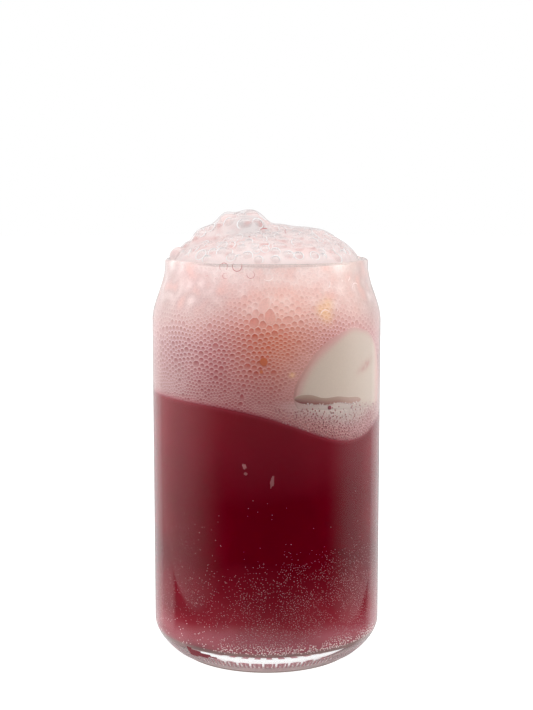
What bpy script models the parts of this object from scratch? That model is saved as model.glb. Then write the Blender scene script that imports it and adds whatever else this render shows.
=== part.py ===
"""Ice cream float: red soda, foam and a scoop of ice cream in a can-shaped glass.

Lengths are metres, +Z is up, and the origin is on the table under the glass's axis.
The front of the glass, where the scoop shows, faces -Y. An azimuth is measured from the front
towards +X.
"""

import math
import random

import bmesh
import bpy
from mathutils import Vector, noise

# The glass
GLASS_HEIGHT = 0.133
BODY_RADIUS = 0.0382
RIM_RADIUS = 0.03385
SHOULDER_TOP = 0.131
SHOULDER_BOTTOM = 0.1125
FOOT_RADIUS = 0.0302
FOOT_RING_INNER = 0.0245
FOOT_ROUNDING = 0.0006
PUNT_HEIGHT = 0.0012
HEEL_INNER = 0.0326
HEEL_START = 0.0018
HEEL_TOP = 0.0105
WALL = 0.0022
RIM_WALL = 0.0019
FLOOR_HEIGHT = 0.0078
FLOOR_CORNER = 0.0052

# The drink, with the hollow that the floating scoop and its foam press into it
DRINK_LEVEL = 0.0893
HOLLOW_DEPTH = 0.0160
HOLLOW_AZIMUTH = math.radians(48)
HOLLOW_OFFSET = 0.0260
HOLLOW_SPREAD = 0.0162
LEVEL_FADE = 0.0560

# The scoop of ice cream, pressed flat against the wall above its waist, with its top to one side
SCOOP_AZIMUTH = math.radians(44.5)
SCOOP_HALF_WIDTH = 0.0205
SCOOP_LEAN = math.radians(6.5)
SCOOP_WAIST = 0.0898
SCOOP_WAIST_TILT = -0.0016
SCOOP_UPPER = 0.0232
SCOOP_LOWER = 0.0128
SCOOP_DEPTH = 0.0260
SCOOP_TUCK = 0.0130
SCOOP_LUMPS = 0.05

# The air gap under the scoop, at the wall, and how far its cutter starts outside the contents
GAP_AZIMUTH = math.radians(33.5)
GAP_HEIGHT = 0.0908
GAP_HALF_WIDTH = 0.0129
GAP_HALF_HEIGHT = 0.0011
GAP_DEPTH = 0.0024
GAP_OVERRUN = 0.0010

# The heap of froth over the rim: a low dome with lumps, each (x, y, radius, rise)
HEAP_RADIUS = 0.0306
HEAP_RISE = 0.0071
HEAP_WOBBLE = 0.0003
WOBBLE_SIZE = 0.0055
HEAP_LUMPS = (
    (-0.0079, -0.0020, 0.0080, 0.0071),
    (-0.0190, 0.0010, 0.0068, 0.0041),
    (-0.0290, -0.0005, 0.0028, 0.0016),
    (0.0000, 0.0080, 0.0110, 0.0022),
    (0.0100, -0.0030, 0.0120, 0.0018),
    (0.0200, 0.0040, 0.0090, 0.0013),
    (-0.0050, -0.0170, 0.0090, 0.0014),
)
BUBBLE_SEED = 11
BUBBLE_COUNT = 60
BUBBLE_SIZES = (0.0017, 0.0036)
BUBBLE_INSET = 0.0028
BUBBLE_SINK = 0.72
BUBBLE_SPACING = 0.8
LARGE_BUBBLES = (
    (-0.0280, -0.0040, 0.0026),
    (-0.0195, -0.0150, 0.0034),
    (-0.0130, -0.0090, 0.0036),
    (-0.0100, -0.0010, 0.0034),
    (-0.0060, -0.0060, 0.0034),
    (-0.0010, -0.0020, 0.0032),
    (0.0045, -0.0150, 0.0038),
    (0.0120, -0.0100, 0.0030),
    (0.0200, -0.0080, 0.0032),
    (0.0050, 0.0140, 0.0036),
    (-0.0150, 0.0150, 0.0034),
    (0.0190, 0.0130, 0.0030),
)

# The gap between touching solids, and the wider one that the faceted scoop needs
CLEARANCE = 0.0003
SCOOP_SPACE = 0.00036
SEGMENTS = 56
MERGE = 1e-6


def clear_scene():
    for obj in list(bpy.data.objects):
        bpy.data.objects.remove(obj)


def material(name, colour, roughness, transmission=0.0):
    made = bpy.data.materials.new(name)
    made.use_nodes = True
    shader = made.node_tree.nodes["Principled BSDF"]
    shader.inputs["Base Color"].default_value = (*colour, 1)
    shader.inputs["Roughness"].default_value = roughness
    shader.inputs["Metallic"].default_value = 0.0
    shader.inputs["Transmission Weight"].default_value = transmission
    return made


def add_object(name, bm, finish):
    """The bmesh as a named, smoothly shaded object."""
    bmesh.ops.recalc_face_normals(bm, faces=bm.faces)
    mesh = bpy.data.meshes.new(name)
    bm.to_mesh(mesh)
    bm.free()
    mesh.materials.append(finish)
    mesh.shade_smooth()
    mesh.set_sharp_from_angle(angle=math.radians(40))
    obj = bpy.data.objects.new(name, mesh)
    bpy.context.scene.collection.objects.link(obj)
    return obj


def ease(t):
    t = min(max(t, 0.0), 1.0)
    return t * t * (3 - 2 * t)


def outer_radius(z):
    """Radius of the glass's outside above the heel: straight, then drawn in at the shoulder."""
    drawn_in = ease((z - SHOULDER_BOTTOM) / (SHOULDER_TOP - SHOULDER_BOTTOM))
    return BODY_RADIUS - (BODY_RADIUS - RIM_RADIUS) * drawn_in


def inner_radius(z):
    """Radius of the glass's inside, above the rounded corner of its floor."""
    thinning = ease((z - SHOULDER_BOTTOM) / (GLASS_HEIGHT - SHOULDER_BOTTOM))
    radius = outer_radius(z) - WALL + (WALL - RIM_WALL) * thinning
    below = FLOOR_HEIGHT + FLOOR_CORNER - z
    if below > 0:
        radius -= FLOOR_CORNER - math.sqrt(max(FLOOR_CORNER**2 - below**2, 0.0))
    return radius


def spaced(start, end, count):
    return [start + (end - start) * i / (count - 1) for i in range(count)]


def turned(profile):
    """A bmesh of the (radius, height) profile, turned round the Z axis."""
    bm = bmesh.new()
    verts = [bm.verts.new((radius, 0, z)) for radius, z in profile]
    edges = [bm.edges.new(pair) for pair in zip(verts, verts[1:])]
    bmesh.ops.spin(
        bm,
        geom=verts + edges,
        cent=(0, 0, 0),
        axis=(0, 0, 1),
        angle=math.tau,
        steps=SEGMENTS,
        use_merge=True,
    )
    bmesh.ops.remove_doubles(bm, verts=bm.verts, dist=MERGE)
    return bm


def heel_profile():
    """From the edge of the foot, round the heel, to the straight body.

    The arc leaves the foot more steeply than a quarter of an ellipse, hence the powers.
    """
    points = []
    for angle in spaced(0, math.pi / 2, 7):
        across = math.sin(angle) ** 2.0
        up = 1 - math.cos(angle) ** 1.1
        radius = HEEL_INNER + (BODY_RADIUS - HEEL_INNER) * across
        points.append((radius, HEEL_START + (HEEL_TOP - HEEL_START) * up))
    return points


def rim_profile():
    """Over the rounded rim, from the outside to the inside."""
    half = RIM_WALL / 2
    middle = RIM_RADIUS - half
    base = GLASS_HEIGHT - half
    angles = spaced(0, math.pi, 5)
    return [(middle + half * math.cos(a), base + half * math.sin(a)) for a in angles]


def floor_profile():
    """Down the rounded corner inside, to the middle of the floor."""
    corner = BODY_RADIUS - WALL - FLOOR_CORNER
    centre = FLOOR_HEIGHT + FLOOR_CORNER
    angles = spaced(0, math.pi / 2, 5)
    points = [
        (corner + FLOOR_CORNER * math.cos(a), centre - FLOOR_CORNER * math.sin(a))
        for a in angles
    ]
    return points + [(0, FLOOR_HEIGHT)]


def make_glass(finish):
    below_rim = GLASS_HEIGHT - RIM_WALL
    punt_edge = FOOT_RING_INNER - PUNT_HEIGHT
    foot = [(0, PUNT_HEIGHT), (punt_edge, PUNT_HEIGHT), (FOOT_RING_INNER, 0)]
    edge = [(FOOT_RADIUS - FOOT_ROUNDING, 0), (FOOT_RADIUS, FOOT_ROUNDING)]
    shoulder = [(outer_radius(z), z) for z in spaced(SHOULDER_BOTTOM, below_rim, 8)]
    inside = [(inner_radius(z), z) for z in spaced(below_rim, SHOULDER_BOTTOM, 7)]
    profile = foot + edge + heel_profile() + shoulder + rim_profile() + inside
    return add_object("glass", turned(profile + floor_profile()), finish)


def drink_surface(x, y):
    """Height of the drink under the foam at a place seen from above."""
    dx = x - HOLLOW_OFFSET * math.sin(HOLLOW_AZIMUTH)
    dy = y + HOLLOW_OFFSET * math.cos(HOLLOW_AZIMUTH)
    dip = math.exp(-(dx * dx + dy * dy) / (2 * HOLLOW_SPREAD**2))
    return DRINK_LEVEL - HOLLOW_DEPTH * dip


def make_drink(finish):
    """Everything below the foam, turned to the glass's inside and then dented from above."""
    floor = FLOOR_HEIGHT + CLEARANCE
    corner = [floor + FLOOR_CORNER * (1 - math.cos(a)) for a in spaced(0, math.pi / 2, 5)]
    walls = corner + spaced(LEVEL_FADE, DRINK_LEVEL, 4)
    side = [(inner_radius(z - CLEARANCE) - CLEARANCE, z) for z in walls]
    top = [(radius, DRINK_LEVEL) for radius in spaced(side[-1][0], 0, 8)[1:]]
    bm = turned([(0, floor)] + side + top)
    for vert in bm.verts:
        share = ease((vert.co.z - LEVEL_FADE) / (DRINK_LEVEL - LEVEL_FADE))
        vert.co.z -= share * (DRINK_LEVEL - drink_surface(vert.co.x, vert.co.y))
    return add_object("drink", bm, finish)


def heap_surface(x, y):
    """Height of the froth over the rim at a place seen from above."""
    reach = min(math.hypot(x, y) / HEAP_RADIUS, 1.0)
    rise = HEAP_RISE * (1 - reach**3.2) ** 0.7
    for lump_x, lump_y, radius, lump_rise in HEAP_LUMPS:
        away = math.hypot(x - lump_x, y - lump_y) / radius
        rise += lump_rise * math.exp(-(away**4)) * (1 - reach**14)
    return GLASS_HEIGHT + rise


def make_foam_body(finish):
    """The foam in the glass and its heap, before the bubbles and the scoop's hollow."""
    bottom = [(radius, DRINK_LEVEL) for radius in spaced(0, inner_radius(DRINK_LEVEL), 8)]
    bottom[-1] = (inner_radius(DRINK_LEVEL) - CLEARANCE, DRINK_LEVEL)
    heights = [0.0968, 0.1046] + spaced(SHOULDER_BOTTOM, GLASS_HEIGHT, 6)
    side = [(inner_radius(z) - CLEARANCE, z) for z in heights]
    heap = [(radius, GLASS_HEIGHT) for radius in spaced(HEAP_RADIUS, 0, 13)]
    bm = turned(bottom + side + heap)
    for vert in bm.verts:
        x, y, z = vert.co
        if z < SHOULDER_BOTTOM:
            share = ease((SHOULDER_BOTTOM - z) / (SHOULDER_BOTTOM - DRINK_LEVEL))
            vert.co.z += CLEARANCE - share * (DRINK_LEVEL - drink_surface(x, y))
        elif z > GLASS_HEIGHT - MERGE and math.hypot(x, y) < HEAP_RADIUS + MERGE:
            wobble = HEAP_WOBBLE * noise.noise(Vector((x, y, 0)) / WOBBLE_SIZE)
            vert.co.z = heap_surface(x, y) + wobble
    return add_object("foam", bm, finish)


def pressed_ball(grow):
    """A ball flattened on the inside of the glass above its waist, and tucked in below it."""
    bm = bmesh.new()
    bmesh.ops.create_icosphere(bm, subdivisions=3, radius=1.0)
    for vert in bm.verts:
        across, inward, up = vert.co
        azimuth = SCOOP_AZIMUTH + across * SCOOP_HALF_WIDTH / (BODY_RADIUS - WALL)
        azimuth += SCOOP_LEAN * max(up, 0.0)
        waist = SCOOP_WAIST + SCOOP_WAIST_TILT * across
        if up >= 0:
            z = waist + up * SCOOP_UPPER
            front = 0.0
        else:
            z = waist + up * SCOOP_LOWER
            front = SCOOP_TUCK * (1 - math.sqrt(1 - up * up))
        lump = 1 + SCOOP_LUMPS * noise.noise(vert.co * 2.2)
        depth = front + max(inward, 0.0) * (SCOOP_DEPTH * lump - front)
        radius = inner_radius(z) - CLEARANCE - depth
        vert.co = (radius * math.sin(azimuth), -radius * math.cos(azimuth), z)
    bm.normal_update()
    for vert in bm.verts:
        vert.co += grow * vert.normal
    return bm


def air_gap():
    """The flat pocket of air that runs along the wall under the scoop."""
    bm = bmesh.new()
    bmesh.ops.create_uvsphere(bm, u_segments=20, v_segments=8, radius=1.0)
    for vert in bm.verts:
        across, inward, up = vert.co
        azimuth = GAP_AZIMUTH + across * GAP_HALF_WIDTH / (BODY_RADIUS - WALL)
        middle = GAP_HEIGHT + SCOOP_WAIST_TILT * across
        z = middle + up * GAP_HALF_HEIGHT * (1.15 - 0.3 * across)
        radius = inner_radius(z) + GAP_OVERRUN - (inward + 1) / 2 * (GAP_DEPTH + GAP_OVERRUN)
        vert.co = (radius * math.sin(azimuth), -radius * math.cos(azimuth), z)
    return bm


def cutter(name, bm):
    obj = add_object(name, bm, None)
    obj.hide_render = True
    obj.display_type = "WIRE"
    return obj


def cut(obj, tool):
    modifier = obj.modifiers.new("cut_" + tool.name, "BOOLEAN")
    modifier.operation = "DIFFERENCE"
    modifier.solver = "EXACT"
    modifier.object = tool


def bubbles():
    """Places and radii of the froth's larger bubbles: the chosen ones, then a seeded spread."""
    draw = random.Random(BUBBLE_SEED)
    placed = list(LARGE_BUBBLES)
    tries = 0
    while len(placed) < BUBBLE_COUNT and tries < 4000:
        tries += 1
        angle = draw.uniform(0, math.tau)
        reach = math.sqrt(draw.random())
        away = reach * (HEAP_RADIUS - BUBBLE_INSET)
        radius = draw.uniform(*BUBBLE_SIZES) * (1 - 0.4 * reach**4)
        x, y = away * math.cos(angle), away * math.sin(angle)
        if all(math.hypot(x - a, y - b) > BUBBLE_SPACING * (radius + r) for a, b, r in placed):
            placed.append((x, y, radius))
    return placed


def fuse_bubbles(foam):
    """Joins the bubbles to the foam by one union, which is then applied."""
    group = bpy.data.collections.new("froth_bubbles")
    bpy.context.scene.collection.children.link(group)
    for index, (x, y, radius) in enumerate(bubbles()):
        bm = bmesh.new()
        bmesh.ops.create_icosphere(bm, subdivisions=2, radius=radius)
        centre = Vector((x, y, heap_surface(x, y) - BUBBLE_SINK * radius))
        bmesh.ops.translate(bm, verts=bm.verts, vec=centre)
        obj = add_object(f"bubble_{index}", bm, None)
        bpy.context.scene.collection.objects.unlink(obj)
        group.objects.link(obj)
    modifier = foam.modifiers.new("froth", "BOOLEAN")
    modifier.operation = "UNION"
    modifier.operand_type = "COLLECTION"
    modifier.collection = group
    modifier.solver = "EXACT"
    bpy.context.view_layer.update()
    graph = bpy.context.evaluated_depsgraph_get()
    fused = bpy.data.meshes.new_from_object(foam.evaluated_get(graph))
    foam.modifiers.clear()
    foam.data = fused
    for obj in list(group.objects):
        bpy.data.objects.remove(obj)
    bpy.data.collections.remove(group)


def main():
    clear_scene()
    glass = material("clear_glass", (0.96, 0.97, 0.97), 0.02, transmission=1.0)
    drink = material("red_soda", (0.16, 0.005, 0.015), 0.1)
    foam = material("pink_foam", (0.78, 0.50, 0.47), 0.5)
    cream = material("vanilla_ice_cream", (0.62, 0.55, 0.46), 0.45)
    make_glass(glass)
    make_drink(drink)
    body = make_foam_body(foam)
    scoop = add_object("ice_cream", pressed_ball(0.0), cream)
    fuse_bubbles(body)
    pocket = cutter("air_gap_cutter", air_gap())
    cut(scoop, pocket)
    cut(body, cutter("scoop_cutter", pressed_ball(SCOOP_SPACE)))
    cut(body, pocket)


main()
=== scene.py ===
"""Ice cream float: the finish of the glass, the red soda, the foam, the scoop and the froth on top.

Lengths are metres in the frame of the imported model: +Z up, the origin on the table under the
glass's axis, the scoop towards the front (-Y) and +X. An azimuth is measured from the front
towards +X, in degrees.
"""

import functools
import math
import random

import bmesh
import bpy
import numpy as np
from mathutils import Matrix, Vector, geometry, noise


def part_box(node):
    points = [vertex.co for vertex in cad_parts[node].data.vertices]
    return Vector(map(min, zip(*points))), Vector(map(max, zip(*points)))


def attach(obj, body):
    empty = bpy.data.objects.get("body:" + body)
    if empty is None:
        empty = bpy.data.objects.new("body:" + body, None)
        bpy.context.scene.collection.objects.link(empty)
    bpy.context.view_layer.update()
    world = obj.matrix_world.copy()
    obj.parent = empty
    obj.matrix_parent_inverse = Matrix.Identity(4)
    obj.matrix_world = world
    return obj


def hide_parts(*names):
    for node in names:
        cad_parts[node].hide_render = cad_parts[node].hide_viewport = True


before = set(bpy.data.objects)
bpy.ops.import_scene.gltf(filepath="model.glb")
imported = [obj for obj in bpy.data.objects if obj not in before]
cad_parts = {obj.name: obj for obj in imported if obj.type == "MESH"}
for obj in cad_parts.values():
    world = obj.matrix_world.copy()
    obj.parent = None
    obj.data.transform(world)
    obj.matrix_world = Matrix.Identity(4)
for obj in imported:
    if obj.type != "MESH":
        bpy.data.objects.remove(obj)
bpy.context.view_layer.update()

bl_info = {
    "name": "Ice cream float",
    "version": (1, 0, 0),
    "blender": (4, 5, 0),
    "location": "3D View > Sidebar > Float",
    "description": "Builds the glass, drink, foam, scoop and froth of an ice cream float",
    "category": "Add Mesh",
}

MM = 0.001

# The glass: the same profile as the solid's
GLASS_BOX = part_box("glass")
GLASS_HEIGHT = GLASS_BOX[1].z
BODY_RADIUS = GLASS_BOX[1].x
RIM_RADIUS = 33.85 * MM
SHOULDER_TOP = 131.0 * MM
SHOULDER_BOTTOM = 112.5 * MM
FOOT_RADIUS = 30.2 * MM
FOOT_RING_INNER = 24.5 * MM
FOOT_ROUNDING = 0.6 * MM
PUNT_HEIGHT = 1.2 * MM
HEEL_INNER = 32.6 * MM
HEEL_START = 1.8 * MM
HEEL_TOP = 10.5 * MM
WALL = 2.2 * MM
RIM_WALL = 1.9 * MM
FLOOR_HEIGHT = 7.8 * MM
FLOOR_CORNER = 5.2 * MM
INNER_BODY = BODY_RADIUS - WALL
GLASS_STEPS = 320
NOTCH_DEPTH = 0.35 * MM
KNURL_BOTTOM = 3.1 * MM
KNURL_TOP = 5.1 * MM

# The finishes of the glass's faces besides the clear one, in the order of its materials
GROUND, PRESSED, KNURL_SHADE, FOOT_EDGE, PAINTED_DRINK_SHADE = range(1, 6)

# A painted shade: the wedge is coloured dark red where the drink would show through the glass
# Where the drink shows dark through the thick base: a wedge to the left of its tip, which widens
# below and above the tip's height by so much in each step of so many degrees
WEDGE_TIP = (-25.0, 6.2 * MM)
WEDGE_STEP = 15.0
WEDGE_STEPS = 1.25
WEDGE_BELOW = 1.3 * MM
WEDGE_ABOVE = 1.7 * MM

# The drink's surface, dented by the scoop
DRINK_LEVEL = 89.3 * MM
HOLLOW_DEPTH = 16.0 * MM
HOLLOW_AZIMUTH = 48.0
HOLLOW_OFFSET = 26.0 * MM
HOLLOW_SPREAD = 16.2 * MM
HOLLOW_START = 56.0 * MM
SODA_STEPS = 192

# The gas bubbles on the wall: one at most in each field of so many degrees by so much height
FIZZ_FIELD = (0.95, 0.62 * MM)
FIZZ_HEIGHTS = (8.4, 66.0)
FIZZ_THICKNESS = 0.10 * MM

# The scoop, pressed flat against the wall above its waist
SCOOP_AZIMUTH = 44.5
SCOOP_LEAN = 6.5
SCOOP_HALF_WIDTH = 20.5 * MM
SCOOP_WAIST = 89.8 * MM
SCOOP_WAIST_TILT = -1.6 * MM
SCOOP_UPPER = 23.2 * MM
SCOOP_LOWER = 12.8 * MM
SCOOP_DEPTH = 26.0 * MM
SCOOP_TUCK = 13.0 * MM

# The air gap under the scoop, at the wall, with half its length as an angle
GAP_AZIMUTH = 33.7
GAP_HALF_ANGLE = 20.3
GAP_HEIGHT = 90.1 * MM

# The heap over the rim: a low dome with lumps, each (x, y, radius, rise)
HEAP_RADIUS = 30.6 * MM
HEAP_RISE = 7.4 * MM
HEAP_LUMPS = (
    (-0.0079, -0.0020, 0.0080, 0.0071),
    (-0.0190, 0.0010, 0.0068, 0.0041),
    (-0.0290, -0.0005, 0.0028, 0.0016),
    (0.0000, 0.0080, 0.0110, 0.0022),
    (0.0100, -0.0030, 0.0120, 0.0018),
    (0.0200, 0.0040, 0.0090, 0.0013),
    (-0.0050, -0.0170, 0.0090, 0.0014),
)
HEAP_WOBBLE = 0.30 * MM
WOBBLE_SIZE = 5.5 * MM
FILM_LIFT = 0.45 * MM
BUBBLE_STAND = 0.90 * MM
FROTH_DEPTH = 6.0 * MM
FROTH_STEPS = 300
FILM_STEPS = 200

# How far what fills the glass reaches into its wall, from the lowest layer to the top one
REACH_FOAM = 0.20 * MM
REACH_OUTLINE = 0.45 * MM
REACH_PIT = 0.54 * MM
REACH_SODA = 0.62 * MM
REACH_DROP = 0.66 * MM
REACH_SCOOP = 0.70 * MM
REACH_BEAD = 0.84 * MM
FOAM_RELIEF = 0.30 * MM

# The net of points that the foam's cells come from. Each point and each triangle between them
# makes a cell, so the points are further apart than the cells.
NET_LOW = 71 * MM
NET_HIGH = 132 * MM
NET_ROWS = 22
NET_COLUMNS = 80
NET_TRIES = 42000
NET_SPREAD = 1.48
NET_CELL = 1.5 * MM
NET_HIDDEN = 2.8 * MM
CELL_BORDER = 0.10 * MM
CELL_ARC = 0.23 * MM

FLOOR_RADIUS = 3.0

MERGE = 0.001 * MM


@functools.cache
def linear(hex_colour):
    """A six-digit sRGB hex colour as linear red, green and blue."""
    parts = [int(hex_colour[i : i + 2], 16) / 255 for i in (0, 2, 4)]
    return tuple(c / 12.92 if c <= 0.04045 else ((c + 0.055) / 1.055) ** 2.4 for c in parts)


def mixed(first, second, share):
    share = min(max(share, 0.0), 1.0)
    return tuple(a + (b - a) * share for a, b in zip(first, second))


def ease(t):
    t = min(max(t, 0.0), 1.0)
    return t * t * (3 - 2 * t)


def between(value, low, high):
    """0 below low, 1 above high and smooth between them. High may be the lower of the two."""
    return ease((value - low) / (high - low))


def bump(distance, spread):
    return math.exp(-distance * distance / (2 * spread * spread))


def spaced(start, end, count):
    return [start + (end - start) * i / (count - 1) for i in range(count)]


def outer_radius(z):
    drawn_in = between(z, SHOULDER_BOTTOM, SHOULDER_TOP)
    return BODY_RADIUS - (BODY_RADIUS - RIM_RADIUS) * drawn_in


def inner_radius(z):
    thinning = between(z, SHOULDER_BOTTOM, GLASS_HEIGHT)
    radius = outer_radius(z) - WALL + (WALL - RIM_WALL) * thinning
    below = FLOOR_HEIGHT + FLOOR_CORNER - z
    if below > 0:
        radius -= FLOOR_CORNER - math.sqrt(max(FLOOR_CORNER**2 - below**2, 0.0))
    return radius


def drink_surface(x, y):
    angle = math.radians(HOLLOW_AZIMUTH)
    dx = x - HOLLOW_OFFSET * math.sin(angle)
    dy = y + HOLLOW_OFFSET * math.cos(angle)
    return DRINK_LEVEL - HOLLOW_DEPTH * bump(math.hypot(dx, dy), HOLLOW_SPREAD)


def drink_line(azimuth):
    """Height of the drink at the wall."""
    angle = math.radians(azimuth)
    return drink_surface(INNER_BODY * math.sin(angle), -INNER_BODY * math.cos(angle))


def heap_surface(x, y):
    reach = min(math.hypot(x, y) / HEAP_RADIUS, 1.0)
    rise = HEAP_RISE * (1 - reach**3.2) ** 0.7
    for lump_x, lump_y, radius, lump_rise in HEAP_LUMPS:
        away = math.hypot(x - lump_x, y - lump_y) / radius
        rise += lump_rise * math.exp(-(away**4)) * (1 - reach**14)
    rise += HEAP_WOBBLE * noise.noise(Vector((x, y, 0)) / WOBBLE_SIZE) * (1 - reach**6)
    return GLASS_HEIGHT + rise


def at_wall(azimuth, z, reach):
    """The point at an azimuth and height, so far outside the inner wall of the glass."""
    angle = math.radians(azimuth)
    radius = inner_radius(z) + reach
    return Vector((radius * math.sin(angle), -radius * math.cos(angle), z))


def wall_place(azimuth, z, reach):
    """The place of what lies against the wall there, turned to face outwards."""
    facing = Matrix.Rotation(math.radians(azimuth), 4, "Z")
    return Matrix.Translation(at_wall(azimuth, z, reach)) @ facing


def azimuth_of(point):
    return math.degrees(math.atan2(point.x, -point.y))


def turned(profile, steps):
    """A bmesh of the (radius, height) profile, turned round the Z axis."""
    bm = bmesh.new()
    verts = [bm.verts.new((radius, 0, z)) for radius, z in profile]
    edges = [bm.edges.new(pair) for pair in zip(verts, verts[1:])]
    bmesh.ops.spin(
        bm,
        geom=verts + edges,
        cent=(0, 0, 0),
        axis=(0, 0, 1),
        angle=math.tau,
        steps=steps,
        use_merge=True,
    )
    bmesh.ops.remove_doubles(bm, verts=bm.verts, dist=MERGE)
    bmesh.ops.recalc_face_normals(bm, faces=bm.faces)
    return bm


def ball(subdivisions):
    """A bmesh of a ball of radius 1."""
    bm = bmesh.new()
    bmesh.ops.create_icosphere(bm, subdivisions=subdivisions, radius=1.0)
    return bm


def add_piece(name, mesh_or_bm, material, replaced=()):
    """The mesh as a piece that rides with the glass and takes its finish from the slot."""
    if isinstance(mesh_or_bm, bmesh.types.BMesh):
        mesh = bpy.data.meshes.new(name)
        mesh_or_bm.to_mesh(mesh)
        mesh_or_bm.free()
    else:
        mesh = mesh_or_bm
    mesh.shade_smooth()
    mesh.materials.append(material)
    piece = bpy.data.objects.new(name, mesh)
    bpy.context.scene.collection.objects.link(piece)
    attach(piece, "root")
    if replaced:
        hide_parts(*replaced)
    return piece


def add_scattered(name, template, places, material, tones=None):
    """Adds one piece of copies of the template bmesh, each at its place (a matrix), with a tone."""
    count = len(template.verts)
    base = np.array([v.co for v in template.verts])
    corners = np.array([[v.index for v in f.verts] for f in template.faces])
    template.free()
    points = []
    for place in places:
        matrix = np.array(place)
        points.append(base @ matrix[:3, :3].T + matrix[:3, 3])
    shifts = count * np.arange(len(places))[:, None, None]
    faces = (corners[None] + shifts).reshape(-1, corners.shape[1])
    mesh = bpy.data.meshes.new(name)
    mesh.from_pydata(np.concatenate(points).tolist(), [], faces.tolist())
    if tones is not None:
        layer = mesh.attributes.new("tone", "FLOAT", "POINT")
        layer.data.foreach_set("value", np.repeat(np.array(tones, np.float32), count))
    add_piece(name, mesh, material)


def add(tree, kind, inputs=(), **settings):
    """Adds a shader node with its settings, and sets or links its inputs."""
    made = tree.nodes.new("ShaderNode" + kind)
    for key, value in settings.items():
        setattr(made, key, value)
    for key, value in dict(inputs).items():
        if isinstance(value, bpy.types.NodeSocket):
            tree.links.new(value, made.inputs[key])
        else:
            made.inputs[key].default_value = value
    return made


def new_material(name):
    """An empty material and its node tree."""
    made = bpy.data.materials.new(name)
    made.use_nodes = True
    made.node_tree.nodes.clear()
    return made, made.node_tree


def rgba(hex_colour):
    return (*linear(hex_colour), 1.0)


# Glass ground matt under the foot with a painted pink reflection of the drink, grey-brown at its
# rounded edge, or painted dark where the drink shows behind it: no gloss
MATT_GLASS = {"Roughness": 0.7, "Specular IOR Level": 0.3}

# The pressed glass's pink is a painted reflection of the drink, and its dark red knurl ticks are
# painted shade
# Glass left dull by the mould round the foot, in which the red drink shows as a blur
PRESSED_GLASS = {"Roughness": 0.35, "IOR": 1.52, "Transmission Weight": 1.0}

# The soda on the glass floor: seen flat through the thick base, it reflects like a mirror
MIRRORING = {"Metallic": 1.0, "Roughness": 0.05}

# Syrup and the films' edges are wet and soft, and the thin white rims of bubbles, painted highlights,
# have a sharper gloss
WET = {"Roughness": 0.3, "Specular IOR Level": 0.4}
GLINTING = {"Roughness": 0.12, "Specular IOR Level": 0.4}


def plain_material(name, hex_colour, looks):
    """A material of one colour, with its looks by the names of the shader's inputs."""
    made, tree = new_material(name)
    shader = add(tree, "BsdfPrincipled", {"Base Color": rgba(hex_colour), **looks})
    add(tree, "OutputMaterial", {"Surface": shader.outputs[0]})
    return made


class GlassSettings(bpy.types.PropertyGroup):
    colour: bpy.props.StringProperty(
        name="Glass colour", description="Tint of the glass, as sRGB hex", default="FBFCFC"
    )
    roughness: bpy.props.FloatProperty(
        name="Roughness",
        description="Roughness of the fire-polished surface",
        default=0.004,
        min=0.0,
        max=0.2,
    )


class DrinkSettings(bpy.types.PropertyGroup):
    colour: bpy.props.StringProperty(
        name="Deep colour", description="The soda at half height, as sRGB hex", default="640013"
    )
    low_colour: bpy.props.StringProperty(
        name="Low colour", description="The soda near the floor, as sRGB hex", default="B0626B"
    )
    bubble_count: bpy.props.IntProperty(
        name="Gas bubbles", description="Bubbles that cling to the wall", default=9000, min=0
    )


class FoamSettings(bpy.types.PropertyGroup):
    cell: bpy.props.FloatProperty(
        name="Cell size",
        description="Distance between neighbouring cells at half the foam's height",
        default=1.40 * MM,
        min=1.2 * MM,
        max=4.0 * MM,
        subtype="DISTANCE",
        unit="LENGTH",
    )


class FrothSettings(bpy.types.PropertyGroup):
    bubble_count: bpy.props.IntProperty(
        name="Bubbles", description="Bubbles on the heap over the rim", default=200, min=30
    )
    colour: bpy.props.StringProperty(
        name="Froth colour", description="The froth under the bubbles", default="EEDCDA"
    )


class ScoopSettings(bpy.types.PropertyGroup):
    colour: bpy.props.StringProperty(
        name="Ice cream colour", description="Vanilla ice cream, as sRGB hex", default="C4B5A8"
    )


class StageSettings(bpy.types.PropertyGroup):
    distance: bpy.props.FloatProperty(
        name="Camera distance",
        description="From the camera to the glass's axis, along the table",
        default=0.460,
        subtype="DISTANCE",
        unit="LENGTH",
    )
    height: bpy.props.FloatProperty(
        name="Camera height",
        description="Height of the camera over the table",
        default=0.162,
        subtype="DISTANCE",
        unit="LENGTH",
    )
    tilt: bpy.props.FloatProperty(
        name="Camera tilt",
        description="How far the camera looks down",
        default=math.radians(7.64),
        subtype="ANGLE",
        unit="ROTATION",
    )
    lens: bpy.props.FloatProperty(
        name="Focal length",
        description="In millimetres, for an image 36 mm tall",
        default=69.87,
        subtype="DISTANCE_CAMERA",
        unit="CAMERA",
    )


def heel_profile():
    """From the edge of the foot, round the heel, to the straight body."""
    points = []
    for angle in spaced(0, math.pi / 2, 22):
        across = math.sin(angle) ** 2.0
        up = 1 - math.cos(angle) ** 1.1
        radius = HEEL_INNER + (BODY_RADIUS - HEEL_INNER) * across
        points.append((radius, HEEL_START + (HEEL_TOP - HEEL_START) * up))
    return points


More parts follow.
